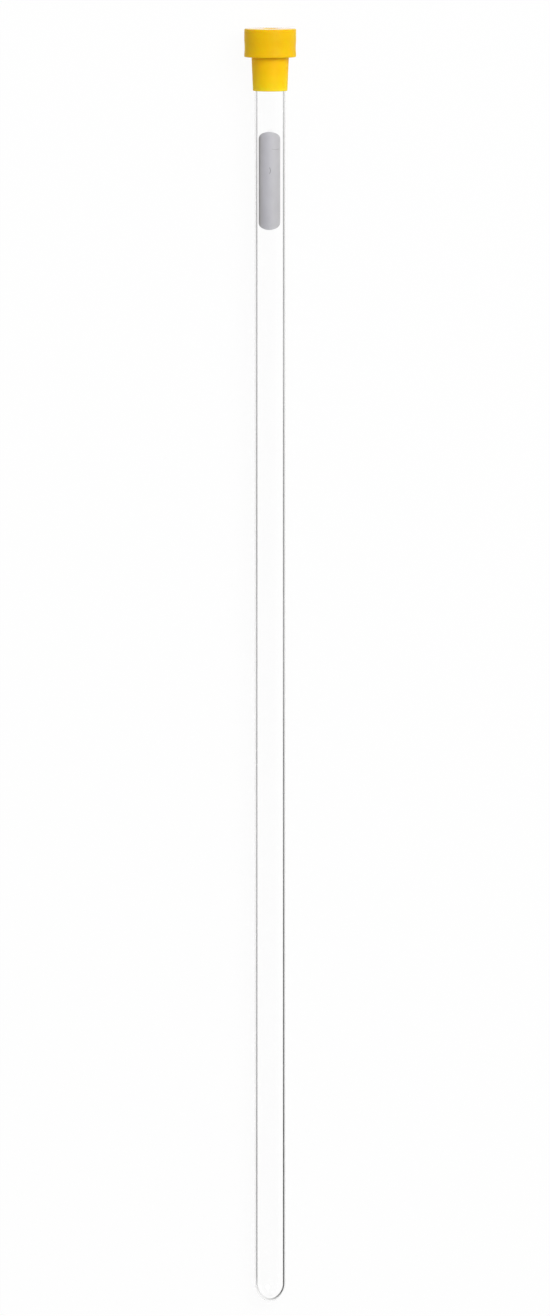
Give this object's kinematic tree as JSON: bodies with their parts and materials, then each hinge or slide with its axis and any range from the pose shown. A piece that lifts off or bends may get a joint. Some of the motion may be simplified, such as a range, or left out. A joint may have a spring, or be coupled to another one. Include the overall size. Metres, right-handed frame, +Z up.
{
  "type": "nmr tube",
  "caption": "Long thin glass sample tube with one round closed end, a soft push-on cap over its mouth and a white spot to write on.",
  "frame": {"origin": "on the surface that the tube lies on, under the middle of its length", "axes": "+Y runs along the tube towards its cap, and +Z is up, out of the marking spot. The tube's own axis rises 0.484 degrees towards +Y, because it rests on the lip of the cap and on its round end"},
  "size_m": [0.0082, 0.2044, 0.0083],
  "materials": {
    "clear_glass": "drawn and flame polished",
    "yellow_polyethylene": "moulded satin",
    "white_enamel": "fired matt"
  },
  "bodies": {
    "tube_body": {"tube": "clear_glass", "marking_spot": "white_enamel"},
    "cap_body": {"cap": "yellow_polyethylene"}
  },
  "joints": [
    {"name": "cap_pull", "type": "slide", "parent": "tube_body", "child": "cap_body", "axis": [0, 1, 0.0084], "range_m": [0, 0.04]}
  ]
}
